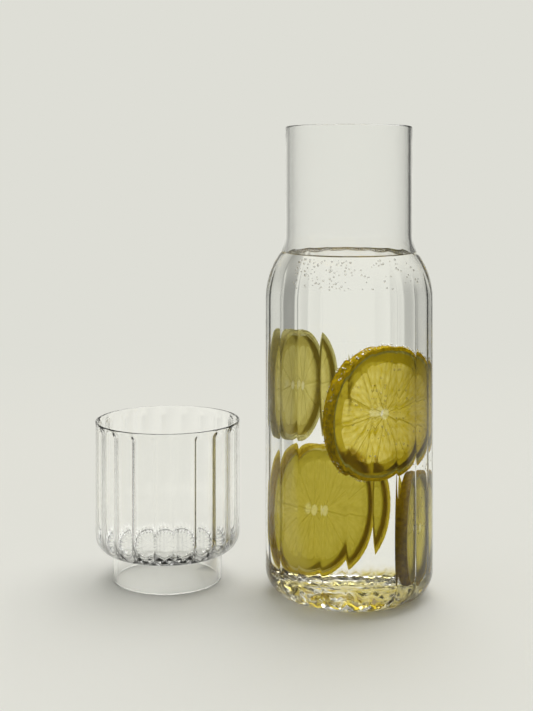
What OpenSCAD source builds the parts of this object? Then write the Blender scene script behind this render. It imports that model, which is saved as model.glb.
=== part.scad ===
// Bedside carafe with its tumbler standing beside it, filled with water and lemon slices.
// The glass is smooth outside. Its flutes are shallow scoops on the inside that meet in ridges.
// Origin: the centre of the carafe's base, on the table. +Z is up, and -Y is the front.

/* [Carafe] */
// Overall height of the carafe
carafe_h = 227; // [210:1:245]
// Outside diameter of the body
body_d = 81.5; // [79:0.5:90]
// Outside diameter of the plain neck
neck_d = 62; // [58:0.5:66]
// Height at which the body starts to turn in to the shoulder
shoulder_z = 143; // [138:1:150]
// Height at which the shoulder has run out into the neck
neck_z = 174.5; // [168:0.5:182]
// Radius of the hollow curve from the shoulder into the neck
neck_fillet_r = 18; // [12:1:24]
// Radius of the outside corner at the base
base_corner_r = 12; // [9:0.5:14]
// Wall of the neck
neck_wall = 1.8; // [1.4:0.1:2.4]
// Width of the flat left on top of the lip, between its two rounds
lip_flat = 0.3; // [0.2:0.05:0.8]
// Thickness of the floor
floor_t = 4; // [3:0.5:7]

/* [Flutes] */
// Number of flutes in each glass
flute_count = 20; // [16:1:22]
// Wall at the middle of a flute of the carafe
flute_wall = 1; // [0.8:0.1:1.6]
// Wall at the ridge between two flutes of the carafe
ridge_wall = 2.4; // [2.2:0.1:2.8]
// Radius of each scoop in the carafe
scoop_r = 10.5; // [9.5:0.1:10.9]
// Turn of the carafe's flutes about its axis, in degrees
carafe_turn = -4.8; // [-9:0.1:9]

/* [Tumbler] */
// Height of the tumbler over its foot
tumbler_h = 79.7; // [72:0.1:90]
// Outside diameter of the bowl
bowl_d = 72.6; // [68:0.1:76]
// Height of the foot ring
foot_h = 14.6; // [10:0.1:18]
// How far the foot ring stands in from the bowl's wall
foot_inset = 8.9; // [8.8:0.1:11]
// Wall of the foot ring
foot_wall = 1.6; // [1.2:0.1:2.4]
// Radius of the bowl's outside corner
bowl_corner_r = 8.5; // [7:0.5:10]
// Thickness of the bowl's floor
bowl_floor_t = 2.4; // [2:0.1:4]
// Wall of the bowl at the middle of a flute
bowl_flute_wall = 0.9; // [0.8:0.1:1.2]
// Wall of the bowl at the ridge between two flutes
bowl_ridge_wall = 2.4; // [2.2:0.1:2.8]
// Height over which the ridges run out below the rim
rim_fade_h = 8; // [4:0.5:14]
// Radius of each scoop in the bowl
bowl_scoop_r = 7.6; // [7:0.1:9]
// Turn of the bowl's flutes about its axis, in degrees
bowl_turn = 10.6; // [-18:0.1:18]
// Place of the tumbler to the left of the carafe, axis to axis
tumbler_left = 90.2; // [82:0.1:120]
// Place of the tumbler behind the carafe, axis to axis
tumbler_back = 20; // [0:1:40]

/* [Water] */
// Height of the water's surface above the table
water_z = 164; // [135:1:172]
// Gap that keeps the water clear of the glass
water_gap = 0.3; // [0.2:0.05:0.4]
// Gap that keeps the water clear of the rim of each slice
pocket_gap = 0.1; // [0.05:0.01:0.2]

/* [Lemon slices] */
// Thickness of a slice
slice_t = 5.5; // [3:0.5:6]
// How much less the front slice's radius is than that of the carafe inside its ridges
front_slice_room = 6.15; // [5.6:0.05:10]
// The same for the upper slice, behind on the left
upper_slice_room = 10.85; // [9:0.05:14]
// The same for the lower slice, behind on the left
lower_slice_room = 6.15; // [5.6:0.05:10]
// The same for the side slice, at the bottom on the right
side_slice_room = 10.55; // [10.4:0.05:14]
// Height at which the lower slice floats over the floor
lower_slice_lift = 3.2; // [1:0.1:4]
// How far the front slice reaches below the top of the side slice
front_dip = 2.2; // [0:0.1:3]
// Thickness of the yellow peel
peel_t = 1.6; // [1:0.1:2.5]
// Thickness of the white pith inside the peel
pith_t = 3; // [1.5:0.1:4]
// Radius of the pithy core
pith_core_r = 2.2; // [1.5:0.1:3]
// Thickness of the skin between two segments
membrane_t = 0.7; // [0.5:0.1:1.2]
// Number of segments in a slice
segment_count = 10; // [8:1:12]
// Gap between a slice and the glass, square to the slice
slice_gap = 0.8; // [0.7:0.1:1.2]

/* [Hidden] */
$fn = 96;

// What a cut runs past the solid that it cuts
overrun = 1;
// A scoop's straight part ends this far from where the plain inside starts to curve
stagger = 0.8;
// How much thinner the bowl's rim is than its flutes, so that they run out below it
rim_relief = 0.1;

// The carafe's radii, and the round on its lip
body_r = body_d / 2;
neck_r = neck_d / 2;
mouth_r = neck_r - neck_wall;
lip_r = (neck_wall - lip_flat) / 2;
scoop_reach = body_r - flute_wall;
core_r = body_r - ridge_wall;
core_corner_r = base_corner_r - flute_wall;
core_floor_z = floor_t + core_corner_r;

// The bowl's radii, its floor inside and the round on its lip
bowl_r = bowl_d / 2;
foot_r = bowl_r - foot_inset;
bowl_floor_z = foot_h + bowl_floor_t;
bowl_scoop_reach = bowl_r - bowl_flute_wall;
bowl_core_r = bowl_r - bowl_ridge_wall;
bowl_core_corner_r = bowl_corner_r - (bowl_flute_wall + bowl_ridge_wall) / 2;
bowl_core_floor_z = bowl_floor_z + bowl_core_corner_r;
rim_wall = bowl_flute_wall - rim_relief;
bowl_lip_r = rim_wall / 2;

// Only the outer side of a scoop cuts glass, down to this share of its radius
depth_share = 0.55;

// Each slice has its radius, the way that it faces (degrees from the front, positive to the right), the
// side of the carafe that it lies on (1 towards the way it faces, -1 away from it), its lean and its
// turn in its own plane (degrees)
front_slice_r = core_r - front_slice_room;
upper_slice_r = core_r - upper_slice_room;
lower_slice_r = core_r - lower_slice_room;
side_slice_r = core_r - side_slice_room;
slice_radii = [front_slice_r, upper_slice_r, lower_slice_r, side_slice_r];
slice_facings = [42, 52, 40, 87];
slice_sides = [1, -1, -1, 1];
slice_leans = [-4, 0, 0, 0];
slice_turns = [10, 4, 20, 0];
// Heights of the centres: the side slice stands on the floor, the lower one is held a little above it,
// the upper one stands on the lower, and the front one beside the top of the side slice
side_slice_z = floor_t + slice_gap + side_slice_r;
lower_slice_z = floor_t + lower_slice_lift + lower_slice_r;
upper_slice_z = lower_slice_z + lower_slice_r + slice_gap + upper_slice_r;
front_slice_z = side_slice_z + side_slice_r + front_slice_r - front_dip;
slice_heights = [front_slice_z, upper_slice_z, lower_slice_z, side_slice_z];
front = 0;
upper = 1;
lower = 2;
side = 3;

// The curve from a wall of radius wide in to a wall of radius narrow: a round and then a hollow
// fillet, each tangent to its wall and to the other. Both end at the point where they meet.
function shoulder_reach(wide, narrow, low, high) =
  ((wide - narrow) * (wide - narrow) + (high - low) * (high - low)) / (2 * (wide - narrow));
function shoulder_round_r(wide, narrow, low, high, fillet) =
  shoulder_reach(wide, narrow, low, high) - fillet;

// Flat outlines, to be turned about the axis
module band(wide, low, high) {
  translate([0, low]) square([wide, high - low]);
}

module foot_outline(wide, low, corner) {
  band(wide - corner, low, low + corner);
  translate([wide - corner, low + corner]) intersection() {
    circle(corner);
    translate([0, -corner - overrun]) square([corner + overrun, corner + overrun]);
  }
}

module lip_outline(wide, high, lip) {
  band(wide - lip, high - lip, high);
  translate([wide - lip, high - lip]) intersection() {
    circle(lip);
    square(lip + overrun);
  }
}

module shoulder_outline(wide, narrow, low, high, fillet) {
  round_r = shoulder_round_r(wide, narrow, low, high, fillet);
  turn = asin((high - low) / (round_r + fillet));
  meet_r = wide - round_r + round_r * cos(turn);
  meet_z = low + round_r * sin(turn);
  intersection() {
    translate([wide - round_r, low]) circle(round_r);
    band(wide + overrun, low, meet_z);
  }
  difference() {
    band(meet_r, meet_z, high);
    translate([narrow + fillet, high]) circle(fillet);
  }
}

// Carafe, outside and inside
module carafe_outside() {
  rotate_extrude() {
    foot_outline(body_r, 0, base_corner_r);
    band(body_r, base_corner_r, shoulder_z);
    shoulder_outline(body_r, neck_r, shoulder_z, neck_z, neck_fillet_r);
    band(neck_r, shoulder_z, carafe_h - lip_r);
    lip_outline(neck_r, carafe_h, lip_r);
  }
}

// The plain inside, on which the scoops are cut; gap is what a filling keeps clear of the glass
module carafe_core(gap, top) {
  rotate_extrude() {
    foot_outline(core_r - gap, floor_t + gap, core_corner_r - gap);
    band(core_r - gap, core_floor_z, shoulder_z);
    shoulder_outline(core_r - gap, mouth_r - gap, shoulder_z, neck_z, neck_fillet_r + neck_wall + gap);
    band(mouth_r - gap, shoulder_z, top);
  }
}

// The outer side of a scoop, which runs up the wall and ends in a round hollow
module scoop(r, reach, low, high, depth) {
  intersection() {
    translate([reach - r, 0, 0]) union() {
      translate([0, 0, low]) cylinder(r = r, h = high - low);
      translate([0, 0, low]) sphere(r);
      translate([0, 0, high]) sphere(r);
    }
    translate([reach - depth, -r - overrun, low - r - overrun])
      cube([depth + overrun, 2 * (r + overrun), high - low + 2 * (r + overrun)]);
  }
}

module carafe_scoop(gap) {
  low = floor_t + max(core_corner_r, scoop_r) + stagger;
  scoop(scoop_r - gap, scoop_reach - gap, low, shoulder_z - stagger, scoop_r * depth_share);
}

// All round, from the middle of one flute to the next
module round_carafe() {
  for (i = [0 : flute_count - 1]) rotate([0, 0, carafe_turn - 90 + (i + 0.5) * 360 / flute_count]) children();
}

module round_bowl() {
  for (i = [0 : flute_count - 1]) rotate([0, 0, bowl_turn - 90 + (i + 0.5) * 360 / flute_count]) children();
}

// What the round on the inner edge of the lip takes away
module lip_inside() {
  rotate_extrude() difference() {
    translate([mouth_r - overrun, carafe_h - lip_r]) square([overrun + lip_r, lip_r + overrun]);
    translate([mouth_r + lip_r, carafe_h - lip_r]) circle(lip_r);
  }
}

module carafe() color([0.86, 0.88, 0.85, 0.4]) {
  difference() {
    carafe_outside();
    carafe_core(0, carafe_h + overrun);
    lip_inside();
    round_carafe() carafe_scoop(0);
  }
}

// Tumbler: bowl and foot ring
module bowl_scoop() {
  low = bowl_floor_z + max(bowl_core_corner_r, bowl_scoop_r) + stagger;
  scoop(bowl_scoop_r, bowl_scoop_reach, low, tumbler_h + overrun, bowl_scoop_r * depth_share);
}

module bowl_outside() {
  rotate_extrude() {
    foot_outline(bowl_r, foot_h, bowl_corner_r);
    band(bowl_r, foot_h + bowl_corner_r, tumbler_h - bowl_lip_r);
    lip_outline(bowl_r, tumbler_h, bowl_lip_r);
  }
}

module bowl_core() {
  rotate_extrude() {
    foot_outline(bowl_core_r, bowl_floor_z, bowl_core_corner_r);
    band(bowl_core_r, bowl_core_floor_z, tumbler_h - rim_fade_h);
    polygon([
      [0, tumbler_h - rim_fade_h],
      [bowl_core_r, tumbler_h - rim_fade_h],
      [bowl_r - rim_wall, tumbler_h - bowl_lip_r],
      [bowl_r - rim_wall, tumbler_h + overrun],
      [0, tumbler_h + overrun]
    ]);
  }
}

module at_tumbler() {
  translate([-tumbler_left, tumbler_back, 0]) children();
}

module tumbler_bowl() color([0.86, 0.88, 0.85, 0.4]) at_tumbler() {
  difference() {
    bowl_outside();
    bowl_core();
    round_bowl() bowl_scoop();
  }
}

// The ring goes up to the bowl wherever it meets it, on the flat or on the corner
module tumbler_foot() color([0.84, 0.86, 0.83, 0.4]) at_tumbler() {
  ring_h = foot_h + bowl_corner_r;
  difference() {
    cylinder(r = foot_r, h = ring_h);
    translate([0, 0, -overrun]) cylinder(r = foot_r - foot_wall, h = ring_h + 2 * overrun);
    bowl_outside();
  }
}

// Lemon slices: a ring of peel, a disc of pith with a pocket for each segment, and the segments
pulp_inset = peel_t + pith_t;

module place_slice(i) {
  r = slice_radii[i];
  facing = slice_facings[i];
  off_axis = slice_sides[i] * (sqrt(core_r * core_r - r * r) - slice_t / 2 - slice_gap);
  translate([off_axis * sin(facing), -off_axis * cos(facing), slice_heights[i]])
    rotate([90 - slice_leans[i], 0, facing]) rotate([0, 0, slice_turns[i]]) children();
}

// A pie-shaped wedge between two membranes, long enough to reach the peel
module segment_wedge(r) {
  half = 180 / segment_count;
  tip = membrane_t / 2 / sin(half);
  polygon([[tip, 0], [tip + r * cos(half), -r * sin(half)], [tip + r * cos(half), r * sin(half)]]);
}

module segments(r) {
  for (k = [0 : segment_count - 1]) rotate([0, 0, k * 360 / segment_count]) difference() {
    intersection() {
      circle(r - pulp_inset);
      segment_wedge(r);
    }
    circle(pith_core_r);
  }
}

module peel(i) {
  r = slice_radii[i];
  color([0.88, 0.72, 0.1]) place_slice(i) translate([0, 0, -slice_t / 2]) difference() {
    cylinder(r = r, h = slice_t);
    translate([0, 0, -overrun]) cylinder(r = r - peel_t, h = slice_t + 2 * overrun);
  }
}

module pith(i) {
  r = slice_radii[i];
  color([0.93, 0.91, 0.76]) place_slice(i) translate([0, 0, -slice_t / 2]) linear_extrude(slice_t)
    difference() {
      circle(r - peel_t);
      segments(r);
    }
}

module pulp(i) {
  color([0.9, 0.86, 0.45]) place_slice(i) translate([0, 0, -slice_t / 2]) linear_extrude(slice_t)
    segments(slice_radii[i]);
}

// Water: what the inside holds up to its surface, less the slices
module water() color([0.8, 0.88, 0.86, 0.3]) {
  difference() {
    difference() {
      union() {
        carafe_core(water_gap, carafe_h);
        round_carafe() carafe_scoop(water_gap);
      }
      translate([0, 0, water_z]) cylinder(r = body_d, h = carafe_h);
    }
    for (i = [front, upper, lower, side])
      place_slice(i) cylinder(r = slice_radii[i] + pocket_gap, h = slice_t, center = true);
  }
}

carafe();
tumbler_bowl();
tumbler_foot();
water();
peel(front);  // front_slice_peel
pith(front);  // front_slice_pith
pulp(front);  // front_slice_pulp
peel(upper);  // upper_slice_peel
pith(upper);  // upper_slice_pith
pulp(upper);  // upper_slice_pulp
peel(lower);  // lower_slice_peel
pith(lower);  // lower_slice_pith
pulp(lower);  // lower_slice_pulp
peel(side);  // side_slice_peel
pith(side);  // side_slice_pith
pulp(side);  // side_slice_pulp
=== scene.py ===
# %% [markdown]
# # A bedside carafe and its tumbler
# The object is two pieces of thin clear glass, some water and four slices of lemon. Clear things have
# no colour of their own to paint: they look like what is behind them, bent. So this lesson spends its
# effort on true wall thicknesses, on flutes that really are hollows in the glass, and on a plain pale
# room for the glass to bend.

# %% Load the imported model
import bpy
import math
import random
from mathutils import Matrix, Vector, noise
from mathutils.kdtree import KDTree


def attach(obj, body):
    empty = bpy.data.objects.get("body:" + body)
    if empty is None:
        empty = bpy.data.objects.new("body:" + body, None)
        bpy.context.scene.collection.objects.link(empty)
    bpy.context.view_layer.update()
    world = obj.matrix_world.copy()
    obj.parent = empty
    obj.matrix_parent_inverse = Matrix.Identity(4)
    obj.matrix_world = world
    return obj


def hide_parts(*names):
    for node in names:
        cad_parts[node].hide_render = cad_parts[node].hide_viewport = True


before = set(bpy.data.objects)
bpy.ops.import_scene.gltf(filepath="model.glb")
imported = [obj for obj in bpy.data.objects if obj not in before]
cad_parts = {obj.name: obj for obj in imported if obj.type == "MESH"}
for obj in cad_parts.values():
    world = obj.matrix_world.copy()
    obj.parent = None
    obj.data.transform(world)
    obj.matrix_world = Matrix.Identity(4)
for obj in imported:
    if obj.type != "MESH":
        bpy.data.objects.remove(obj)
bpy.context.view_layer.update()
scene = bpy.context.scene

# %% [markdown]
# ## The camera
# The picture looks down on the glasses, yet their upright lines stay upright. A camera that is tilted
# down would make them lean, so this one is level and its frame is shifted down, as with a view camera.
# The height of the horizon and the focal length are in pixels of the picture.

# %% Camera
FRAME_H = 711
FOCAL_PX = 1238.0
HORIZON_PX = 171.1
FILM = 36.0
EYE = Vector((-0.0403, -0.606, 0.20506))


def add_camera():
    data = bpy.data.cameras.new("camera")
    data.sensor_width = FILM
    data.lens = FOCAL_PX / FRAME_H * FILM
    data.shift_y = (HORIZON_PX - FRAME_H / 2) / FRAME_H
    data.clip_start = 0.01
    data.clip_end = 20.0
    cam = bpy.data.objects.new("camera", data)
    scene.collection.objects.link(cam)
    cam.location = EYE
    cam.rotation_euler = (math.pi / 2, 0, 0)
    scene.camera = cam
    return cam


camera = add_camera()
scene.view_settings.view_transform = "Standard"
print("lens", round(camera.data.lens, 2), "mm, shift", round(camera.data.shift_y, 4))

# %% [markdown]
# ## Helpers for meshes
# Everything turned on a wheel or blown in a mould starts as a profile that is spun about the axis.
# A flute is then a change of radius that repeats round the axis, so it is made by moving the spun
# points, which keeps the wall's thickness under control.

# %% Helpers for meshes
MM = 0.001
WELD = 0.002 * MM


def deselect_all():
    if bpy.context.object and bpy.context.object.mode != "OBJECT":
        bpy.ops.object.mode_set(mode="OBJECT")
    bpy.ops.object.select_all(action="DESELECT")


def make_active(obj):
    deselect_all()
    obj.select_set(True)
    bpy.context.view_layer.objects.active = obj


def new_mesh_object(name, points, edges=(), faces=()):
    mesh = bpy.data.meshes.new(name)
    mesh.from_pydata(points, edges, faces)
    obj = bpy.data.objects.new(name, mesh)
    scene.collection.objects.link(obj)
    return obj


def spin_profile(name, profile, steps, phase=0.0, closed=False):
    """Spins a profile of (radius, height) points in metres about the Z axis, from the angle phase."""
    edges = [(i, i + 1) for i in range(len(profile) - 1)]
    if closed:
        edges.append((len(profile) - 1, 0))
    points = [(r * math.cos(phase), r * math.sin(phase), z) for r, z in profile]
    obj = new_mesh_object(name, points, edges)
    make_active(obj)
    bpy.ops.object.mode_set(mode="EDIT")
    bpy.ops.mesh.select_all(action="SELECT")
    bpy.ops.mesh.spin(steps=steps, angle=2 * math.pi, center=(0, 0, 0), axis=(0, 0, 1))
    bpy.ops.mesh.select_all(action="SELECT")
    bpy.ops.mesh.remove_doubles(threshold=WELD)
    bpy.ops.mesh.normals_make_consistent(inside=False)
    bpy.ops.object.mode_set(mode="OBJECT")
    return obj


def arc(cx, cz, r, start, end, count):
    """Points of an arc in the profile plane, angles in degrees."""
    out = []
    for i in range(count + 1):
        a = math.radians(start + (end - start) * i / count)
        out.append((cx + r * math.cos(a), cz + r * math.sin(a)))
    return out


LONG_STRETCH = 2 * MM
SUPPORT = 0.25 * MM


def resample(points, spacing):
    """Adds points on long straight stretches, so that vertex moves have something to move. The first
    and last lie close to the ends, so that smooth shading doesn't spread a round over its neighbour."""
    out = [points[0]]
    for a, b in zip(points, points[1:]):
        length = math.hypot(b[0] - a[0], b[1] - a[1])
        steps = max(1, math.ceil(length / spacing))
        shares = [i / steps for i in range(1, steps)]
        if length > LONG_STRETCH:
            shares = [SUPPORT / length] + shares + [1 - SUPPORT / length]
        for k in shares + [1]:
            out.append((a[0] + (b[0] - a[0]) * k, a[1] + (b[1] - a[1]) * k))
    return out


def smoothstep(x):
    """Rises softly from 0 at 0 to 1 at 1, and stays level outside."""
    x = min(1.0, max(0.0, x))
    return x * x * (3 - 2 * x)


def smooth(obj, angle):
    """Shades an object smooth, but for edges sharper than the angle in degrees."""
    make_active(obj)
    bpy.ops.object.shade_smooth_by_angle(angle=math.radians(angle))


def give(obj, body, slot, materials, *nodes):
    """Gives a piece its materials and its body, and hides the CAD nodes that it stands for. slot is not used.
    """
    obj.data.materials.clear()
    for material in materials:
        obj.data.materials.append(material)
    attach(obj, body)
    if nodes:
        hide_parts(*nodes)
    return obj


print("helpers ready")

# %% [markdown]
# ## Sizes
# The sizes repeat those of the solid model, in metres, a hair smaller outside so that the dressed
# pieces stay within it. The flutes are hollows on the inside only: the outside of both vessels is
# smooth. A flute is a scoop of radius scoop_r that leaves flute_wall of glass behind it, and the wall is
# ridge_wall thick at the ridge between two flutes. turn is how far one ridge lies round from the front,
# in degrees.

# %% Sizes
FLUTES = 20
STEPS_PER_FLUTE = 20
CARAFE = dict(
    h=227 * MM, body_r=40.74 * MM, neck_r=31 * MM, shoulder_z=143 * MM, neck_z=174.5 * MM,
    fillet=18 * MM, corner=12 * MM, floor=4 * MM, neck_wall=1.8 * MM,
    flute_wall=1.0 * MM, ridge_wall=2.4 * MM, scoop_r=10.5 * MM, turn=-4.8)
BOWL = dict(
    h=79.7 * MM, r=36.28 * MM, corner=8.5 * MM, base=14.6 * MM, floor=2.4 * MM,
    flute_wall=0.9 * MM, ridge_wall=2.4 * MM, scoop_r=7.6 * MM, turn=10.6, rim_fade=4.5 * MM)
FOOT = dict(r=27.4 * MM, wall=1.6 * MM, fillet=0.6 * MM)
WATER_Z = 164 * MM
TUMBLER_AT = Vector((-90.2 * MM, 20 * MM, 0))
print("carafe", CARAFE["h"] / MM, "mm high; bowl", BOWL["r"] * 2 / MM, "mm across")

# %% [markdown]
# ## Colours and surfaces
# Every finish here is a Principled shader whose sockets are fed by a few small nodes: a smooth step, a
# sum, a mix of two colours, noise, and a bump. Each gets a helper, so that a finish reads as a recipe.
# Clear glass throws only a faint shadow, so its shader lets most shadow rays through by its alpha.

# %% Helpers for materials


def new_material(name):
    """A material, its node tree and its Principled shader."""
    mat = bpy.data.materials.new(name)
    mat.use_nodes = True
    shader = mat.node_tree.nodes["Principled BSDF"]
    return mat, mat.node_tree, shader


def rgb(r, g, b):
    """A colour as written in a picture, 0 to 255, turned to light."""
    out = []
    for c in (r, g, b):
        c = c / 255
        out.append(c / 12.92 if c <= 0.04045 else ((c + 0.055) / 1.055) ** 2.4)
    return (*out, 1.0)


def ramp_node(tree, value, low, high):
    """A smooth step from 0 at low to 1 at high."""
    node = tree.nodes.new("ShaderNodeMapRange")
    node.interpolation_type = "SMOOTHSTEP"
    node.inputs["From Min"].default_value = low
    node.inputs["From Max"].default_value = high
    tree.links.new(value, node.inputs["Value"])
    return node.outputs["Result"]


def math_node(tree, operation, *values):
    """One sum on values, each a number or another node's output."""
    node = tree.nodes.new("ShaderNodeMath")
    node.operation = operation
    for socket, value in zip(node.inputs, values):
        if isinstance(value, (int, float)):
            socket.default_value = value
        else:
            tree.links.new(value, socket)
    return node.outputs[0]


def mix_colour(tree, factor, a, b):
    """a where the factor is 0, b where it is 1; each is a colour or another node's output."""
    node = tree.nodes.new("ShaderNodeMix")
    node.data_type = "RGBA"
    for socket, value in zip((node.inputs[0], node.inputs[6], node.inputs[7]), (factor, a, b)):
        if isinstance(value, tuple):
            socket.default_value = value
        else:
            tree.links.new(value, socket)
    return node.outputs[2]


def add_bump(tree, shader, height, depth, strength=0.5):
    """Feeds the shader's normal from a height of 0 to 1, which stands for a depth in metres."""
    bump = tree.nodes.new("ShaderNodeBump")
    bump.inputs["Strength"].default_value = strength
    bump.inputs["Distance"].default_value = depth
    tree.links.new(height, bump.inputs["Height"])
    tree.links.new(bump.outputs["Normal"], shader.inputs["Normal"])


def grain(tree, scale, detail=2.0):
    """Noise that is fixed to the piece, with a scale per metre."""
    coord = tree.nodes.new("ShaderNodeTexCoord")
    tex = tree.nodes.new("ShaderNodeTexNoise")
    tex.inputs["Scale"].default_value = scale
    tex.inputs["Detail"].default_value = detail
    tree.links.new(coord.outputs["Object"], tex.inputs["Vector"])
    return tex.outputs["Fac"]


print("material helpers ready")

# %% [markdown]
# ## Glass and water
# A wall of glass with water behind it has three kinds of face. Where dry glass meets air, light bends
# by the index of glass. Where water wets the glass, it bends by the ratio of the two, so the wetted
# faces have a lower index and the water's own side bends nothing. The water's top bends as water does.
# Blown glass is never quite even, and a faint wave in it breaks up the lines that are seen through it.

# %% Glass and water
GLASS_IOR = 1.5
WATER_IOR = 1.333
GLASS_TINT = (0.995, 0.997, 0.992, 1.0)
WATER_TINT = (0.995, 0.996, 0.985, 1.0)
# the slices' colour as painted into the glass low down, a painted reflection
SLICE_REFLECTION_TINT = (0.70, 0.56, 0.10, 1.0)
WAVE = 0.02 * MM
WAVE_SCALE = 90
REFLECTION_PATCH_SCALE = 110
SHADED_BASE = 60 * MM
# the heights at which the painted reflection of the slices starts and at which it is full
PAINTED_REFLECTION_HEIGHTS = (8.5 * MM, 4 * MM)


def pass_shadow(tree, shader, share, low_share=None):
    """Lets a share of each shadow ray through. In the thick base, which turns light aside, it may be a
    lower share."""
    path = tree.nodes.new("ShaderNodeLightPath")
    if low_share is not None:
        coord = tree.nodes.new("ShaderNodeTexCoord")
        split = tree.nodes.new("ShaderNodeSeparateXYZ")
        tree.links.new(coord.outputs["Object"], split.inputs[0])
        rise = ramp_node(tree, split.outputs["Z"], 0.0, SHADED_BASE)
        share = math_node(tree, "MULTIPLY_ADD", rise, share - low_share, low_share)
    stopped = math_node(tree, "MULTIPLY", path.outputs["Is Shadow Ray"], share)
    tree.links.new(math_node(tree, "SUBTRACT", 1.0, stopped), shader.inputs["Alpha"])


def clear_material(name, colour, ior, share, low_share=None, wave=0.0):
    """Glass or water. wave is the height in metres of its slight unevenness."""
    mat, tree, shader = new_material(name)
    shader.inputs["Base Color"].default_value = colour
    shader.inputs["Metallic"].default_value = 0.0
    shader.inputs["Roughness"].default_value = 0.0
    shader.inputs["IOR"].default_value = ior
    shader.inputs["Transmission Weight"].default_value = 1.0
    pass_shadow(tree, shader, share, low_share)
    if wave:
        add_bump(tree, shader, grain(tree, WAVE_SCALE, 1.0), wave, 1.0)
    return mat


def paint_slice_reflection(mat):
    """A painted reflection: patches of gold low down in the glass's colour, where the slices are seen bent
    and mirrored in the uneven floor.
    """
    tree = mat.node_tree
    coord = tree.nodes.new("ShaderNodeTexCoord")
    split = tree.nodes.new("ShaderNodeSeparateXYZ")
    tree.links.new(coord.outputs["Object"], split.inputs[0])
    low = ramp_node(tree, split.outputs["Z"], *PAINTED_REFLECTION_HEIGHTS)
    patch = math_node(tree, "MULTIPLY", low, ramp_node(tree, grain(tree, REFLECTION_PATCH_SCALE, 1), 0.35, 0.6))
    painted_reflection = mix_colour(tree, patch, GLASS_TINT, SLICE_REFLECTION_TINT)
    tree.links.new(painted_reflection, tree.nodes["Principled BSDF"].inputs["Base Color"])


# name, tint, index, share of shadow let through, the same low down, wave
glass_dry = clear_material("glass_dry", GLASS_TINT, GLASS_IOR, 0.84, 0.1, WAVE)
glass_tumbler = clear_material("glass_tumbler", GLASS_TINT, GLASS_IOR, 0.72, 0.4, WAVE)
glass_wet = clear_material("glass_wet", GLASS_TINT, GLASS_IOR / WATER_IOR, 0.88, 0.15, WAVE)
# the wetted glass gets patches of painted reflection of the slices in its base
paint_slice_reflection(glass_wet)
water_side = clear_material("water_side", WATER_TINT, 1.0, 0.97)
water_top = clear_material("water_top", WATER_TINT, WATER_IOR, 0.9)
bubble_skin = clear_material("bubble_skin", (1, 1, 1, 1), 1 / WATER_IOR, 0.9)
print("materials:", [m.name for m in bpy.data.materials])

# %% [markdown]
# ## Glass with flutes inside
# The wall is spun from one closed profile: up the outside and down the inside. The outside stays
# round. On the inside the glass is thickest along the ridges, where two hollows meet, so the inside
# points move in by the height of the ridge, along the profile's own normal. Round the shoulder and the
# base the same rule carries the ridges over the curve, and a share fades them out.

# %% Fluted glass


def shoulder_curve(wide, narrow, low, high, fillet, count):
    """A round from the wide wall, then a hollow fillet into the narrow wall, tangent all the way."""
    step_in = wide - narrow
    rise = high - low
    reach = (step_in**2 + rise**2) / (2 * step_in)
    turn = math.degrees(math.asin(rise / reach))
    round_r = reach - fillet
    up = arc(wide - round_r, low, round_r, 0, turn, count)
    down = arc(narrow + fillet, high, fillet, 180 + turn, 180, count)
    return up + down[1:]


def inward_normals(profile):
    """Unit normals of a profile that runs down the inside of a wall, pointing into the hollow."""
    out = []
    for i in range(len(profile)):
        a = profile[max(i - 1, 0)]
        b = profile[min(i + 1, len(profile) - 1)]
        dr, dz = b[0] - a[0], b[1] - a[1]
        length = math.hypot(dr, dz)
        out.append((dz / length, -dr / length))
    return out


def ridge_shape(angle, reach, scoop_r, ridge_h, turn):
    """How high the glass stands over the bottom of a flute at an angle, as a share from 0 to 1."""
    pitch = 2 * math.pi / FLUTES
    local = (angle - math.radians(turn) + math.pi / 2) / pitch
    phi = (local - math.floor(local) - 0.5) * pitch
    centre = reach - scoop_r
    lobe = centre * math.cos(phi) + math.sqrt(max(0.0, scoop_r**2 - (centre * math.sin(phi)) ** 2))
    return min(1.0, (reach - lobe) / ridge_h)


LUMP_SCALE = 170
LUMP_SLICE = 20 * MM
FINE_LUMPS = 2.3
FLOOR_FADE = 6 * MM


def uneven(angle, r, lift):
    """How far the thick floor of a blown glass rises and falls, in metres."""
    place = Vector((r * math.cos(angle), r * math.sin(angle), LUMP_SLICE)) * LUMP_SCALE
    return lift * (noise.noise(place) + 0.5 * noise.noise(place * FINE_LUMPS))


def flute_inside(obj, plain, inner, ridge, reach, scoop_r, ridge_h, turn, floor_z, lift):
    """Raises the ridges on a spun wall. plain is what stays round and inner is what carries ridges;
    ridge gives the share of the ridges' full height at a point of inner. The floor inside, at floor_z,
    is uneven by about lift. Returns inner's vertices."""
    tree = KDTree(len(plain) + len(inner))
    for i, (r, z) in enumerate(plain + inner):
        tree.insert((r, 0, z), i)
    tree.balance()
    normal = inward_normals(inner)
    inside = set()
    for v in obj.data.vertices:
        r = math.hypot(v.co.x, v.co.y)
        i = tree.find((r, 0, v.co.z))[1] - len(plain)
        if i < 0:
            continue
        inside.add(v.index)
        share = ridge(*inner[i])
        angle = math.atan2(v.co.y, v.co.x)
        low = 1 - smoothstep((inner[i][1] - floor_z) / FLOOR_FADE)
        v.co.z += low * uneven(angle, r, lift)
        if share <= 0 or r < 1e-6:
            continue
        rise = ridge_h * share * ridge_shape(angle, reach, scoop_r, ridge_h, turn)
        nr, nz = normal[i]
        k = (r + nr * rise) / r
        v.co = (v.co.x * k, v.co.y * k, v.co.z + nz * rise)
    return inside


print("flute helpers ready")

# %% [markdown]
# ## The carafe
# A mould-blown bottle with a wide fluted body and a plain neck. The lip is fire polished, so it is
# round, and the floor is thicker than the wall and a little uneven. The wall could be a surface with a
# thickness added, but then the inside would only repeat the outside, so both sides are one profile.
# The faces that water covers get the wetted glass.

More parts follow.
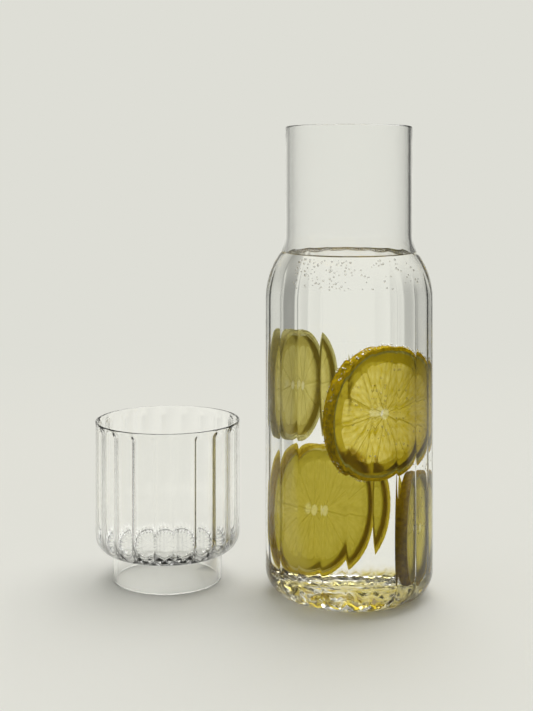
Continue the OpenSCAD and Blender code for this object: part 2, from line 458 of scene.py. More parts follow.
# %% Carafe
C = CARAFE
SCOOP_REACH = C["body_r"] - C["flute_wall"]
CARAFE_RIDGE = C["ridge_wall"] - C["flute_wall"]
MOUTH_R = C["neck_r"] - C["neck_wall"]
MENISCUS = 1.3 * MM
FLOOR_LIFT = 0.55 * MM
FLOOR_RINGS = (0, 4, 8, 12, 16, 19, 22, 25)
RIDGES_START = 20 * MM
CARAFE_RAMP = 9 * MM
RIDGES_SINK = 3 * MM
RIDGES_END = 24 * MM


def carafe_inside(inset, top):
    """The inside profile in mid-flute, from the axis up to a height; inset keeps clear of the glass."""
    reach = SCOOP_REACH - inset
    floor = C["floor"] + inset
    corner = C["corner"] - C["flute_wall"] - inset
    points = [(r * MM, floor) for r in FLOOR_RINGS]
    points += arc(reach - corner, floor + corner, corner, -90, 0, 16)
    points += shoulder_curve(reach, MOUTH_R - inset, C["shoulder_z"], C["neck_z"],
                             C["fillet"] + C["neck_wall"] + inset, 14)
    points.append((MOUTH_R - inset, C["h"]))
    points = resample(points, 12 * MM)
    below = [p for p in points if p[1] < top - 0.05 * MM]
    a, b = below[-1], points[len(below)]
    k = (top - a[1]) / (b[1] - a[1])
    return below + [(a[0] + (b[0] - a[0]) * k, top)], points[len(below):]


def carafe_ridge(r, z):
    """The ridges run out at the foot of the neck and on the floor."""
    if z < C["floor"] + 1 * MM:
        return smoothstep((r - RIDGES_START) / CARAFE_RAMP)
    return 1 - smoothstep((z - C["shoulder_z"] - RIDGES_SINK) / RIDGES_END)


lip = C["neck_wall"] / 2
carafe_outer = (
    [(0, 0), (15 * MM, 0)]
    + arc(C["body_r"] - C["corner"], C["corner"], C["corner"], -90, 0, 16)
    + shoulder_curve(C["body_r"], C["neck_r"], C["shoulder_z"], C["neck_z"], C["fillet"], 14)
    + arc(C["neck_r"] - lip, C["h"] - lip, lip, 0, 90, 5))
carafe_outer = resample(carafe_outer, 12 * MM)
wet_part, dry_part = carafe_inside(0, WATER_Z + MENISCUS)
dry_part = [p for p in dry_part if p[1] < C["h"] - lip - 0.1 * MM]
carafe_inner = wet_part + dry_part + arc(C["neck_r"] - lip, C["h"] - lip, lip, 180, 90, 5)[:-1]
carafe_inner = carafe_inner[::-1]
carafe = spin_profile("carafe_glass", carafe_outer + carafe_inner, FLUTES * STEPS_PER_FLUTE,
                      math.radians(C["turn"] - 90))
carafe_hollow = flute_inside(carafe, carafe_outer, carafe_inner, carafe_ridge, SCOOP_REACH,
                             C["scoop_r"], CARAFE_RIDGE, C["turn"], C["floor"], FLOOR_LIFT)
smooth(carafe, 70)
give(carafe, "carafe_filled", "clear_glass", [glass_dry, glass_wet], "carafe")
wet = 0
for poly in carafe.data.polygons:
    if poly.center.z < WATER_Z + MENISCUS and all(i in carafe_hollow for i in poly.vertices):
        poly.material_index = 1
        wet += 1
print("carafe faces:", len(carafe.data.polygons), "wetted:", wet)

# %% [markdown]
# ## The tumbler
# One glass: a fluted bowl with a plain ring under it. The ring is a little narrower than the carafe's
# neck inside, so the tumbler can also stand in the neck. Ring and bowl are one melt, with a small
# fillet where they meet.

# %% Tumbler
B = BOWL
BOWL_REACH = B["r"] - B["flute_wall"]
BOWL_RIDGE = B["ridge_wall"] - B["flute_wall"]
BOWL_RAMP = 7 * MM
BOWL_FLOOR_LIFT = 0.12 * MM
bowl_lip = 0.4 * MM
foot_in = FOOT["r"] - FOOT["wall"]
edge = 0.7 * MM
bowl_outer = (
    [(0, B["base"]), (12 * MM, B["base"])]
    + arc(foot_in - FOOT["fillet"], B["base"] - FOOT["fillet"], FOOT["fillet"], 90, 0, 4)
    + arc(foot_in + edge, edge, edge, 180, 270, 4)
    + arc(FOOT["r"] - edge, edge, edge, 270, 360, 4)
    + arc(FOOT["r"] + FOOT["fillet"], B["base"] - FOOT["fillet"], FOOT["fillet"], 180, 90, 4)
    + arc(B["r"] - B["corner"], B["base"] + B["corner"], B["corner"], -85, 0, 14)
    + arc(B["r"] - bowl_lip, B["h"] - bowl_lip, bowl_lip, 0, 90, 4))
bowl_outer = resample(bowl_outer, 10 * MM)
bowl_floor = B["base"] + B["floor"]
bowl_corner = B["corner"] - B["flute_wall"] - 0.6 * MM
bowl_inner = (
    [(r * MM, bowl_floor) for r in (0, 9, 17, 22)]
    + arc(BOWL_REACH - bowl_corner, bowl_floor + bowl_corner, bowl_corner, -90, 0, 16)
    + [(BOWL_REACH, B["h"] - B["rim_fade"] - i * MM) for i in (20, 0)]
    + [(BOWL_REACH, B["h"] - B["rim_fade"] * (1 - k / 8)) for k in range(1, 8)]
    + arc(B["r"] - bowl_lip, B["h"] - bowl_lip, bowl_lip, 180, 90, 4)[:-1])
bowl_inner = resample(bowl_inner, 10 * MM)[::-1]


def bowl_ridge(r, z):
    """The ridges run out just below the rim and on the floor."""
    if z < bowl_floor + 0.6 * MM:
        return smoothstep((r - RIDGES_START) / BOWL_RAMP)
    return 1 - smoothstep((z - (B["h"] - B["rim_fade"])) / (B["rim_fade"] - 0.4 * MM))


tumbler = spin_profile("tumbler_glass", bowl_outer + bowl_inner, FLUTES * STEPS_PER_FLUTE,
                       math.radians(B["turn"] - 90))
flute_inside(tumbler, bowl_outer, bowl_inner, bowl_ridge, BOWL_REACH,
             B["scoop_r"], BOWL_RIDGE, B["turn"], bowl_floor, BOWL_FLOOR_LIFT)
tumbler.data.transform(Matrix.Translation(TUMBLER_AT))
smooth(tumbler, 70)
give(tumbler, "tumbler", "clear_glass", [glass_tumbler], "tumbler_bowl", "tumbler_foot")
print("tumbler faces:", len(tumbler.data.polygons))

# %% [markdown]
# ## The water
# The water fills the inside up to its level, and climbs the glass a little all round. Its side lies
# a hair inside the glass and bends nothing, because the wetted glass already bends by the ratio of
# the two. Its top is a free surface.

# %% Water
INSET = 0.03 * MM
CLIMB_REACH = 3.2 * MM
CLIMB_POWER = 2.6
CLIMB_STEPS = 8
below, _ = carafe_inside(INSET, WATER_Z + MENISCUS)
edge_r = below[-1][0]
climb = []
for k in range(1, CLIMB_STEPS + 1):
    t = k / CLIMB_STEPS
    climb.append((edge_r - CLIMB_REACH * t, WATER_Z + MENISCUS * (1 - t) ** CLIMB_POWER))
water_profile = below + climb + [(20 * MM, WATER_Z), (10 * MM, WATER_Z), (0, WATER_Z)]
water_profile = water_profile[::-1]
top_count = len(climb) + 3
water = spin_profile("water_body", water_profile, FLUTES * STEPS_PER_FLUTE, math.radians(C["turn"] - 90))
sides = water_profile[top_count:]
wet_side = flute_inside(water, water_profile[:top_count], sides, carafe_ridge, SCOOP_REACH,
                        C["scoop_r"], CARAFE_RIDGE, C["turn"], C["floor"], FLOOR_LIFT)
smooth(water, 70)
give(water, "carafe_filled", "water", [water_side, water_top], "water")
top = 0
for poly in water.data.polygons:
    if not all(i in wet_side for i in poly.vertices):
        poly.material_index = 1
        top += 1
print("water faces:", len(water.data.polygons), "free surface:", top)

# %% [markdown]
# ## What the lemon is made of
# A slice in water is lit from behind: pulp glows, pith is duller and peel is darkest. Each is a shader
# that lets light through and spreads it. Its index is close to 1, because flesh bends light hardly more
# than the water round it. The slices are cut across the fruit, so the pulp's sacs and streaks run out
# from the core. They are one shared effect, a group that reads where it is on the slice from an
# attribute. Each slice has its own row of colours, which paint the light and shade it shows where it
# stands: lit and shaded copies of one lemon, with the front pith painted a dull olive.

# %% Slice materials
FLESH_IOR = 1.06
PULP_CLEAR = 0.92
PEEL_SHADE = (0.2, 0.13, 0.0, 1.0)
PITH_SHADE = (0.4, 0.34, 0.08, 1.0)
PULP_SHADE = (0.6, 0.5, 0.08, 1.0)
# where the deep colour, a painted shade, comes in along +X, in metres
SHADED_SIDE_FROM, SHADED_SIDE_TO = 6 * MM, 32 * MM
# across the grain twice, and along it
SACS_SCALE, STREAKS_SCALE = (11, 11, 8), (34, 34, 3)
# as shares of the slice's radius
CORE_FADE = (0.095, 0.06)


def fibre_group():
    """A shared effect: juice sacs and streaks that run out from the core. They follow the piece's own
    attribute "grain", which holds the way out from the core and the distance from it."""
    tree = bpy.data.node_groups.new("fibres", "ShaderNodeTree")
    tree.interface.new_socket("Scale", in_out="INPUT", socket_type="NodeSocketFloat")
    tree.interface.new_socket("Sacs", in_out="OUTPUT", socket_type="NodeSocketFloat")
    tree.interface.new_socket("Streaks", in_out="OUTPUT", socket_type="NodeSocketFloat")
    source = tree.nodes.new("NodeGroupInput")
    sink = tree.nodes.new("NodeGroupOutput")
    grain_at = tree.nodes.new("ShaderNodeAttribute")
    grain_at.attribute_name = "grain"
    for kind, output, scale in (("ShaderNodeTexVoronoi", "Sacs", SACS_SCALE),
                                ("ShaderNodeTexNoise", "Streaks", STREAKS_SCALE)):
        mapping = tree.nodes.new("ShaderNodeMapping")
        mapping.inputs["Scale"].default_value = scale
        tex = tree.nodes.new(kind)
        tree.links.new(grain_at.outputs["Vector"], mapping.inputs["Vector"])
        tree.links.new(mapping.outputs["Vector"], tex.inputs["Vector"])
        tree.links.new(source.outputs["Scale"], tex.inputs["Scale"])
        tree.links.new(tex.outputs[0], sink.inputs[output])
    return tree


FIBRES = fibre_group()


def two_tone(tree, factor, dark, light, low=0.35, high=0.65):
    """Turns from one colour to another as the factor goes from low to high."""
    ramp = tree.nodes.new("ShaderNodeValToRGB")
    ramp.color_ramp.elements[0].position = low
    ramp.color_ramp.elements[0].color = dark
    ramp.color_ramp.elements[1].position = high
    ramp.color_ramp.elements[1].color = light
    tree.links.new(factor, ramp.inputs["Fac"])
    return ramp.outputs["Color"]


def wet_flesh(name, transmission, roughness, tint):
    """Fruit in water: light goes through it and comes out spread, and its shadow is tinted."""
    mat, tree, shader = new_material(name)
    shader.inputs["Roughness"].default_value = roughness
    shader.inputs["IOR"].default_value = FLESH_IOR
    shader.inputs["Transmission Weight"].default_value = transmission
    path = tree.nodes.new("ShaderNodeLightPath")
    clear = tree.nodes.new("ShaderNodeBsdfTransparent")
    clear.inputs["Color"].default_value = tint
    mix = tree.nodes.new("ShaderNodeMixShader")
    tree.links.new(path.outputs["Is Shadow Ray"], mix.inputs[0])
    tree.links.new(shader.outputs[0], mix.inputs[1])
    tree.links.new(clear.outputs[0], mix.inputs[2])
    tree.links.new(mix.outputs[0], tree.nodes["Material Output"].inputs["Surface"])
    return mat, tree, shader


def peel_material(name, clear, dark, light):
    """Waxy yellow peel with its small dimples."""
    mat, tree, shader = wet_flesh(name, clear, 0.4, PEEL_SHADE)
    tree.links.new(two_tone(tree, grain(tree, 420), dark, light), shader.inputs["Base Color"])
    add_bump(tree, shader, grain(tree, 1400), 0.25 * MM)
    return mat


def pulp_material(name, dark, light, skin, deep, roughness):
    """Juice sacs with streaks, thin skins between the segments, and a whitish core. Towards +X the
    flesh turns to its deep colour, a painted shade on that side of each slice."""
    mat, tree, shader = wet_flesh(name, PULP_CLEAR, roughness, PULP_SHADE)
    tex = tree.nodes.new("ShaderNodeGroup")
    tex.node_tree = FIBRES
    tex.inputs["Scale"].default_value = 1.0
    coord = tree.nodes.new("ShaderNodeTexCoord")
    place = tree.nodes.new("ShaderNodeSeparateXYZ")
    tree.links.new(coord.outputs["Object"], place.inputs[0])
    sacs = two_tone(tree, tex.outputs["Sacs"], light, dark, 0.2, 0.9)
    streaks = ramp_node(tree, tex.outputs["Streaks"], 0.45, 0.8)
    flesh = mix_colour(tree, math_node(tree, "MULTIPLY", streaks, 0.4), sacs, dark)
    # painted shade: towards +X the flesh turns to its deep colour
    shaded_side = ramp_node(tree, place.outputs["X"], SHADED_SIDE_FROM, SHADED_SIDE_TO)
    flesh = mix_colour(tree, math_node(tree, "MULTIPLY", shaded_side, 0.8), flesh, deep)
    inside = tree.nodes.new("ShaderNodeAttribute")
    inside.attribute_name = "inside"
    edge = ramp_node(tree, inside.outputs["Fac"], 0.05, 0.5)
    cut = mix_colour(tree, edge, skin, flesh)
    grain_at = tree.nodes.new("ShaderNodeAttribute")
    grain_at.attribute_name = "grain"
    out = tree.nodes.new("ShaderNodeSeparateXYZ")
    tree.links.new(grain_at.outputs["Vector"], out.inputs[0])
    core = ramp_node(tree, out.outputs["Z"], *CORE_FADE)
    tree.links.new(mix_colour(tree, core, cut, PITH_CORE), shader.inputs["Base Color"])
    add_bump(tree, shader, math_node(tree, "SUBTRACT", 1.0, tex.outputs["Sacs"]), 0.25 * MM)
    return mat


def pith_material(name, clear, dark, light):
    """The dull ring under the peel."""
    mat, tree, shader = wet_flesh(name, clear, 0.4, PITH_SHADE)
    tree.links.new(two_tone(tree, grain(tree, 500), dark, light), shader.inputs["Base Color"])
    add_bump(tree, shader, grain(tree, 900), 0.15 * MM)
    return mat


PITH_CORE = rgb(250, 246, 226)
# how clear, and dark and light colours; each slice's row paints the light and shade it shows
PEELS = {
    "front": (0.3, rgb(172, 146, 0), rgb(232, 198, 0)),
    "upper": (0.85, rgb(196, 188, 120), rgb(214, 206, 140)),
    "lower": (0.8, rgb(204, 182, 40), rgb(224, 204, 70)),
    "side": (0.3, rgb(140, 112, 0), rgb(170, 140, 0)),
}
# the piths are painted with their shade in back light, a dull olive in the front and side slices
PITHS = {
    "front": (0.15, rgb(160, 148, 52), rgb(184, 174, 84)),
    "upper": (0.88, rgb(206, 200, 144), rgb(214, 208, 154)),
    "lower": (0.86, rgb(212, 200, 108), rgb(220, 210, 124)),
    "side": (0.6, rgb(160, 146, 60), rgb(176, 164, 80)),
}
# dark, light, skin and deep colours of the pulp, and its roughness; each row holds its slice's painted light
# and shade, and deep is a painted shade towards +X
PULPS = {
    "front": (rgb(198, 176, 24), rgb(242, 228, 132), rgb(156, 136, 16), rgb(160, 138, 0), 0.35),
    "upper": (rgb(206, 195, 106), rgb(222, 212, 136), rgb(184, 171, 84), rgb(184, 171, 84), 0.6),
    "lower": (rgb(184, 170, 60), rgb(204, 190, 82), rgb(176, 162, 50), rgb(200, 188, 90), 0.7),
    "side": (rgb(204, 190, 80), rgb(220, 208, 104), rgb(180, 166, 60), rgb(196, 184, 90), 0.6),
}
peel_skin = {name: peel_material("peel_" + name, *row) for name, row in PEELS.items()}
pith_flesh = {name: pith_material("pith_" + name, *row) for name, row in PITHS.items()}
pulp_flesh = {name: pulp_material("pulp_" + name, *row) for name, row in PULPS.items()}
print("slice materials ready")

# %% [markdown]
# ## The lemon slices
# Each slice is a ring of dimpled peel, a ring of pith and a disc of pulp. The disc is spun like the
# glass, and then its rows of points are moved so that they follow the segments: their rounded ends,
# and the thin skins between them, which lie a little lower than the swollen pulp. Ten separate wedges
# would be another way, but the skins are so thin that lines on one disc are simpler. Beyond the
# segments' ends the disc is pith. Each point keeps how deep it lies inside its segment, for the colour
# of the skins, and the way out from the core, for the grain.

# %% Slices
SLICE_T = 5.5 * MM
PEEL_T, PITH_T, CORE_R, CORNER_R = 2.0 * MM, 5.0 * MM, 2.0 * MM, 2.6 * MM
PITH_RING_T = 1.2 * MM
SEGMENTS = 10
PINHOLE = 0.05 * MM
SKIN_DEPTH, SKIN_W = 0.4 * MM, 0.9 * MM
SWELL, SWELL_SCALE = 0.12 * MM, 420
PIMPLE, PIMPLE_SCALE = 0.22 * MM, 700
WARP, WARP_SCALE = 0.1 * MM, 60
RIND_INSET = 0.12 * MM
CROWN = 0.5 * MM
HAIR = 0.02 * MM
# name, radius, facing, distance from the axis, height of the centre, lean, turn
SLICES = [
    ("front", 32.2, 42, 17.2, 90.4, -4, 10),
    ("upper", 27.5, 52, -23.1, 99.9, 0, 4),
    ("lower", 32.2, 40, -17.2, 39.4, 0, 20),
    ("side", 27.8, 87, 22.8, 32.6, 0, 0),
]


def slice_matrix(facing, off_axis, height, lean, turn):
    yaw = math.radians(facing)
    return (Matrix.Translation((off_axis * MM * math.sin(yaw), -off_axis * MM * math.cos(yaw), height * MM))
            @ Matrix.Rotation(yaw, 4, "Z") @ Matrix.Rotation(math.radians(90 - lean), 4, "X")
            @ Matrix.Rotation(math.radians(turn), 4, "Z"))


def slice_cells(rng):
    """Uneven segments: where each skin lies, and how far out each segment reaches."""
    step = 2 * math.pi / SEGMENTS
    skins = [k * step + rng.uniform(-0.07, 0.07) for k in range(SEGMENTS)]
    return skins + [skins[0] + 2 * math.pi], [1 - 0.05 * rng.random() for k in range(SEGMENTS)]


def mark_grain(obj, radius):
    """Stores the way out from the core and the distance, as a share of the slice's radius."""
    layer = obj.data.attributes.new("grain", "FLOAT_VECTOR", "POINT")
    for v in obj.data.vertices:
        r = max(math.hypot(v.co.x, v.co.y), 1e-6)
        layer.data[v.index].vector = (v.co.x / r, v.co.y / r, r / radius)


def make_pulp(name, pulp_r, disc_r, rng):
    """A disc whose rows of points follow the segments, so that the thin skins between them are lines."""
    skins, reaches = slice_cells(rng)
    flesh_rows, ring_rows, per_cell, half_t = 24, 4, 22, SLICE_T / 2
    rows = flesh_rows + ring_rows
    pitch = (disc_r - CORE_R) / rows
    rim = [(PINHOLE, half_t), (CORE_R / 2, half_t)]
    rim += [(CORE_R + i * pitch, half_t) for i in range(rows + 1)]
    rim += [(r, -z) for r, z in reversed(rim)]
    obj = spin_profile(name, rim, SEGMENTS * per_cell, closed=True)
    inside = obj.data.attributes.new("inside", "FLOAT", "POINT")
    for v in obj.data.vertices:
        out = math.hypot(v.co.x, v.co.y)
        row = round((out - CORE_R) / pitch)
        turn = math.atan2(v.co.y, v.co.x) / (2 * math.pi) * SEGMENTS % SEGMENTS
        cell = min(SEGMENTS - 1, int(turn + 1e-4))
        share = min(1.0, max(0.0, turn - cell))
        share -= 0.7 * math.sin(2 * math.pi * share) / (2 * math.pi)
        width = skins[cell + 1] - skins[cell]
        angle = skins[cell] + width * share
        off_skin = min(share, 1 - share) * width
        reach = pulp_r * reaches[cell]
        along = min(CORNER_R, (reach - CORNER_R / 2) * math.sin(off_skin))
        end = reach - CORNER_R + math.sqrt(CORNER_R**2 - (CORNER_R - along) ** 2)
        if out < CORE_R - pitch / 4:
            r, deep = out, CORE_R - out
        elif row <= flesh_rows:
            r = CORE_R + (end - CORE_R) * row / flesh_rows
            deep = min(r * math.sin(off_skin), end - r, r - CORE_R)
        else:
            r = end + (disc_r - end) * (row - flesh_rows) / ring_rows
            deep = end - r
        x, y = r * math.cos(angle), r * math.sin(angle)
        swell = noise.noise(Vector((x, y, v.co.z)) * SWELL_SCALE)
        lift = SKIN_DEPTH * (smoothstep(deep / SKIN_W) - 1) + SWELL * swell * smoothstep(deep / MM)
        v.co = (x, y, v.co.z + math.copysign(lift, lift * v.co.z))
        inside.data[v.index].value = deep / MM
    for face in obj.data.polygons:
        if min(inside.data[v].value for v in face.vertices) < -0.001:
            face.material_index = 1
    return obj


def make_pith(name, inner, outer):
    """The ring under the peel."""
    half_t = SLICE_T / 2 - 0.3 * MM
    ring = [(inner, -half_t)] + [(inner + (outer - inner) * k / 4, -half_t) for k in (1, 2, 3, 4)]
    ring += [(r, -z) for r, z in reversed(ring)]
    return spin_profile(name, ring, 200, closed=True)


def make_peel(name, r, seed):
    """The rind: a band with a crowned outside, pimpled and a little out of round."""
    half_t = SLICE_T / 2
    side = [(r - PEEL_T, half_t - 0.1 * MM), (r - PEEL_T + 0.5 * MM, half_t), (r - 0.35 * MM, half_t - HAIR)]
    rim = [(x, -z) for x, z in side]
    rim += [(r - CROWN * (1 - math.cos(t * math.pi / 2)) - 0.15 * MM, half_t * t * 0.94)
            for t in (-1, -0.8, -0.6, -0.4, -0.2, 0, 0.2, 0.4, 0.6, 0.8, 1)]
    rim += side[::-1]
    peel = spin_profile(name, rim, 320, closed=True)
    for v in peel.data.vertices:
        out = math.hypot(v.co.x, v.co.y)
        if out < r - PEEL_T + 0.2 * MM:
            continue
        n = noise.noise(Vector((v.co.x, v.co.y, v.co.z + seed * 0.1)) * PIMPLE_SCALE)
        slow = noise.noise(Vector((v.co.x, v.co.y, seed)) * WARP_SCALE)
        k = 1 + (PIMPLE * n - RIND_INSET + WARP * slow) / out
        v.co.x *= k
        v.co.y *= k
    return peel


def make_slice(name, radius, facing, off_axis, height, lean, turn, seed):
    """One slice, from its row in SLICES; the seed sets its own segments and pimples."""
    rng = random.Random(seed)
    place = slice_matrix(facing, off_axis, height, lean, turn)
    r = radius * MM
    peel = make_peel(name + "_peel", r, seed)
    disc_r = r - PEEL_T - PITH_RING_T
    pulp = make_pulp(name + "_pulp", r - PEEL_T - PITH_T, disc_r, rng)
    pith = make_pith(name + "_pith", disc_r + HAIR, r - PEEL_T - HAIR)
    mark_grain(pulp, r)
    parts = []
    for obj, part, mats in ((peel, "peel", [peel_skin[name]]), (pith, "pith", [pith_flesh[name]]),
                            (pulp, "pulp", [pulp_flesh[name], pith_flesh[name]])):
        obj.data.transform(place)
        smooth(obj, 50)
        give(obj, "carafe_filled", "lemon_" + part, mats, f"{name}_slice_{part}")
        parts.append(obj)
    return parts


for seed, row in enumerate(SLICES):
    made = make_slice(*row, seed)
    print(row[0], [len(o.data.polygons) for o in made])

# %% [markdown]
# ## Bubbles
# Bubbles sit under the surface near the glass, on the rim of the front slice and in front of the side
# slice. There are hundreds, and none is larger than a pin's head, so each is a sphere of a few dozen
# faces, and each group of them is joined in one mesh. Air in water bends light the other way round, so
# their index is below 1.

# %% Bubbles


def bubble_cluster(name, spots):
    """Joins one small sphere for each (centre, radius)."""
    points, faces = [], []
    rows, cols = 5, 8
    for centre, radius in spots:
        base = len(points)
        points.append(centre + Vector((0, 0, radius)))
        for i in range(1, rows):
            a = math.pi * i / rows
            for j in range(cols):
                b = 2 * math.pi * j / cols
                points.append(centre + radius * Vector((math.sin(a) * math.cos(b), math.sin(a) * math.sin(b),
                                                        math.cos(a))))
        points.append(centre - Vector((0, 0, radius)))
        last = len(points) - 1
        for j in range(cols):
            k = (j + 1) % cols
            faces.append((base, base + 1 + j, base + 1 + k))
            for i in range(rows - 2):
                p = base + 1 + i * cols
                faces.append((p + j, p + cols + j, p + cols + k, p + k))
            p = base + 1 + (rows - 2) * cols
            faces.append((p + j, last, p + k))
    obj = new_mesh_object(name, points, (), faces)
    smooth(obj, 180)
    give(obj, "carafe_filled", "water", [bubble_skin])
    return obj


def at(angle, r, z):
    """The point at a radius and height, towards an angle in degrees."""
    a = math.radians(angle)
    return Vector((r * math.cos(a), r * math.sin(a), z))


rng = random.Random(7)
RIM_COUNT, FACE_COUNT, TOP_COUNT, TOP_LEFT, SIDE_COUNT = 170, 60, 150, 110, 70
front_r = SLICES[0][1] * MM
front_place = slice_matrix(*SLICES[0][2:])
rim_spots = []
for i in range(RIM_COUNT):
    angle = rng.uniform(20, 250)
    r = front_r + rng.uniform(0.1, 0.6) * MM
    rim_spots.append((front_place @ at(angle, r, rng.uniform(-2.6, 2.9) * MM), rng.uniform(0.2, 0.5) * MM))
for i in range(FACE_COUNT):
    angle = rng.uniform(0, 360)
    r = front_r * rng.uniform(0.1, 0.8)
    size = rng.uniform(0.25, 0.55) * MM
    rim_spots.append((front_place @ at(angle, r, SLICE_T / 2 + size * 0.8), size))
bubble_cluster("rim_bubbles", rim_spots)

UNDER_SURFACE = 1.2 * MM
TOP_DEPTH = 13 * MM
NARROW_R, WIDER_BY, WIDENING = 32.0 * MM, 5.6 * MM, 0.42
top_spots = []
for i in range(TOP_COUNT):
    angle = rng.uniform(-140, -90) if i < TOP_LEFT else rng.uniform(-90, -30)
    depth = rng.random() ** 1.3 * TOP_DEPTH
    z = WATER_Z - UNDER_SURFACE - depth
    wall = NARROW_R + min(WIDER_BY, (WATER_Z - z) * WIDENING)
    r = wall - rng.uniform(1.6, 2.6) * MM
    top_spots.append((at(angle, r, z), rng.uniform(0.2, 0.55) * MM))
bubble_cluster("top_bubbles", top_spots)

SIDE_R = 37.6
side_spots = []
for i in range(SIDE_COUNT):
    angle = rng.uniform(-42, -12)
    z = rng.uniform(34, 74) * MM
    r = (SIDE_R - rng.uniform(0.0, 0.9)) * MM
    side_spots.append((at(angle, r, z), rng.uniform(0.15, 0.4) * MM))
bubble_cluster("side_bubbles", side_spots)
print("bubbles:", len(rim_spots) + len(top_spots) + len(side_spots))

# %% [markdown]
# ## The room
# Pale glass shows on a pale ground by its dark edges: they bend in the darker front and sides of the
# room, while the middle looks through to the bright back. Black cards beside a glass do this in a
# studio. Here the room's brightness goes by the direction in which a ray leaves the glass: a ramp for
# rays that came straight through, repeated in each quarter of the room so that any side of the glass
# has its edges, and a ramp for rays that were reflected. What the camera sees past the glass is plain.

# %% The room
BACKDROP = rgb(222, 222, 214)
# what is seen through the glass starts brighter, because the walls take some of its light
THROUGH_GAIN = 1.16


def scaled(colour, factor):
    return tuple(c * factor for c in colour[:3]) + (1.0,)


THROUGH = scaled(BACKDROP, THROUGH_GAIN)
AROUND = scaled(BACKDROP, 0.5)
# How bright the room is towards an azimuth in degrees from straight behind, plus to the right: for
# light that came straight through the glass, in each quarter of the room, and for reflections.
THROUGH_FIELD = [(-45, 0.9), (-39, 0.85), (-34, 0.7), (-29, 0.45), (-24, 0.55), (-16, 0.78), (-10, 0.92),
                 (-5, 1.0), (10, 1.0), (16, 0.93), (22, 0.8), (26.5, 0.4), (29.5, 0.4), (34, 0.75), (45, 0.9)]
MIRROR_FIELD = [(-180, 0.1), (-90, 0.1), (-60, 0.12), (-50, 0.2), (-40, 0.34), (-30, 0.45), (-24, 0.55),
                (-16, 0.72), (-10, 0.88), (-5, 1.0), (10, 1.0), (16, 0.93), (22, 0.78), (28, 0.4),
                (33, 0.15), (45, 0.08), (90, 0.06), (180, 0.1)]


def field(tree, x, y, stops):
    """How bright the room is towards (x, y). Stops that span less than a full turn repeat."""
    span = stops[-1][0] - stops[0][0]
    azimuth = math_node(tree, "ARCTAN2", x, y)
    share = math_node(tree, "MULTIPLY_ADD", azimuth, math.degrees(1) / span, 0.5)
    if span < 360:
        share = math_node(tree, "FRACT", share)
    ramp = tree.nodes.new("ShaderNodeValToRGB")
    points = ramp.color_ramp.elements
    points[0].position, points[1].position = 0.0, 1.0
    points[0].color = (stops[0][1],) * 3 + (1.0,)
    points[1].color = (stops[-1][1],) * 3 + (1.0,)
    for azimuth, level in stops[1:-1]:
        points.new(azimuth / span + 0.5).color = (level, level, level, 1.0)
    tree.links.new(share, ramp.inputs["Fac"])
    return ramp.outputs["Color"]


def room_colour(tree, x, y, path):
    """What a ray that left the camera through glass finds in the room, towards (x, y)."""
    mirrored = math_node(tree, "MINIMUM", path.outputs["Glossy Depth"], 1.0)
    level = mix_colour(tree, mirrored, field(tree, x, y, THROUGH_FIELD), field(tree, x, y, MIRROR_FIELD))
    node = tree.nodes.new("ShaderNodeMix")
    node.data_type = "RGBA"
    node.blend_type = "MULTIPLY"
    node.inputs[0].default_value = 1.0
    node.inputs[7].default_value = THROUGH
    tree.links.new(level, node.inputs[6])
    bent = math_node(tree, "MAXIMUM", path.outputs["Is Transmission Ray"], path.outputs["Is Glossy Ray"])
    return mix_colour(tree, bent, AROUND, node.outputs[2])


print("room:", round(THROUGH[0], 3), "behind the glass,", round(AROUND[0], 3), "around")

# %% [markdown]
# ## The floor
# A wide sheet of pale paper, a hair under the feet. Close by it is lit by the lamp and keeps the
# shadows. Far off it glows as the room does, so no horizon shows through the glass. Rays that come
# through the glass find it brighter, golden right under the carafe, where light has come through the
# slices, and dim in the directions in which the glass has its dark edges. Rays that the glass reflects
# towards the front find it dim, because a bright reflection would veil what is in the glass.

# %% Floor
PAPER = (0.80, 0.796, 0.752, 1.0)
PAPER_THROUGH = scaled(PAPER, THROUGH_GAIN)
PAPER_MIRRORED = scaled(PAPER, 0.12)
# GOLDEN is a painted pool of light: the paper under the carafe tinted as light through the slices would tint
# it
GOLDEN = (0.60, 0.50, 0.13, 1.0)
UNLIT = (0.0, 0.0, 0.0, 1.0)
FLOOR_FIELD = [(-45, 0.6), (-38, 0.95), (-30, 1.0), (22, 1.0), (27, 0.6), (32, 0.32), (40, 0.32), (45, 0.6)]
FLOOR_SIZE = 8.0
FLOOR_Z = -0.3 * MM
# each zone's ramp, in metres from the carafe's axis or in front of it
FAR_ZONE, NEAR_ZONE, GOLDEN_ZONE, FRONT_ZONE = (0.3, 0.9), (0.12, 0.05), (0.062, 0.045), (-0.045, -0.09)


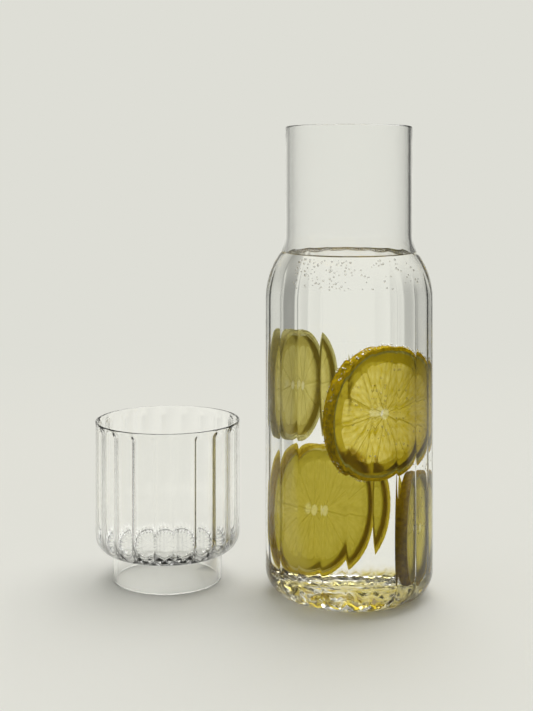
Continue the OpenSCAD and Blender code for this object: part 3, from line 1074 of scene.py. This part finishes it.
def add_floor():
    bpy.ops.mesh.primitive_plane_add(size=FLOOR_SIZE, location=(0, 0, FLOOR_Z))
    floor = bpy.context.object
    floor.name = "floor"
    mat, tree, shader = new_material("floor_paper")
    coord = tree.nodes.new("ShaderNodeTexCoord")
    split = tree.nodes.new("ShaderNodeSeparateXYZ")
    path = tree.nodes.new("ShaderNodeLightPath")
    tree.links.new(coord.outputs["Object"], split.inputs[0])
    seen = path.outputs["Is Camera Ray"]
    apart = tree.nodes.new("ShaderNodeVectorMath")
    apart.operation = "LENGTH"
    tree.links.new(coord.outputs["Object"], apart.inputs[0])
    far = ramp_node(tree, apart.outputs["Value"], *FAR_ZONE)
    near = ramp_node(tree, apart.outputs["Value"], *NEAR_ZONE)
    under = ramp_node(tree, apart.outputs["Value"], *GOLDEN_ZONE)
    beside = math_node(tree, "ADD", split.outputs["X"], -TUMBLER_AT.x)
    level = math_node(tree, "MAXIMUM", field(tree, split.outputs["X"], split.outputs["Y"], FLOOR_FIELD),
                      field(tree, beside, split.outputs["Y"], FLOOR_FIELD))
    level = math_node(tree, "MAXIMUM", level, near)
    # for rays through the glass the paper's colour carries painted light and shade: brighter, golden under
    # the carafe, black towards the dark edges
    bent = mix_colour(tree, level, UNLIT, mix_colour(tree, under, PAPER_THROUGH, GOLDEN))
    paper = mix_colour(tree, path.outputs["Is Transmission Ray"], PAPER, bent)
    in_front = ramp_node(tree, split.outputs["Y"], *FRONT_ZONE)
    mirrored = math_node(tree, "MULTIPLY", path.outputs["Is Glossy Ray"], in_front)
    paper = mix_colour(tree, mirrored, paper, PAPER_MIRRORED)
    tree.links.new(mix_colour(tree, far, paper, UNLIT), shader.inputs["Base Color"])
    room = room_colour(tree, split.outputs["X"], split.outputs["Y"], path)
    tree.links.new(mix_colour(tree, seen, room, BACKDROP), shader.inputs["Emission Color"])
    tree.links.new(far, shader.inputs["Emission Strength"])
    shader.inputs["Roughness"].default_value = 0.9
    shader.inputs["Specular IOR Level"].default_value = 0.0
    floor.data.materials.append(mat)
    return floor


floor = add_floor()
print("floor:", floor.name, FLOOR_SIZE, "m wide")

# %% [markdown]
# ## The lamp
# The soft shadows fall forwards and to the left, so the light is a wide soft sun, high up behind the
# glasses and to the right. The room itself fills in the rest. Light that passes through many faces of
# glass needs as many bounces.

# %% Room light and lamp
SUN_FROM = (0.3, 0.52, 1.0)
SUN_STRENGTH = 2.1
SUN_ANGLE = 60
CLEAR_BOUNCES = 32


def add_world():
    world = bpy.data.worlds.new("room")
    scene.world = world
    world.use_nodes = True
    tree = world.node_tree
    tree.nodes.clear()
    out = tree.nodes.new("ShaderNodeOutputWorld")
    back = tree.nodes.new("ShaderNodeBackground")
    path = tree.nodes.new("ShaderNodeLightPath")
    coord = tree.nodes.new("ShaderNodeTexCoord")
    split = tree.nodes.new("ShaderNodeSeparateXYZ")
    tree.links.new(coord.outputs["Generated"], split.inputs[0])
    room = room_colour(tree, split.outputs["X"], split.outputs["Y"], path)
    seen = mix_colour(tree, path.outputs["Is Camera Ray"], room, BACKDROP)
    tree.links.new(seen, back.inputs["Color"])
    tree.links.new(back.outputs[0], out.inputs["Surface"])
    return world


def add_sun(name, direction, strength, angle):
    data = bpy.data.lights.new(name, "SUN")
    data.energy = strength
    data.angle = math.radians(angle)
    obj = bpy.data.objects.new(name, data)
    scene.collection.objects.link(obj)
    obj.rotation_euler = Vector(direction).to_track_quat("Z", "Y").to_euler()
    return obj


world = add_world()
sun = add_sun("key", SUN_FROM, SUN_STRENGTH, SUN_ANGLE)
scene.cycles.max_bounces = CLEAR_BOUNCES
scene.cycles.transmission_bounces = CLEAR_BOUNCES
scene.cycles.transparent_max_bounces = CLEAR_BOUNCES
scene.cycles.glossy_bounces = 8
scene.cycles.diffuse_bounces = 4
print("world:", world.name, "lamp:", sun.name, SUN_STRENGTH)
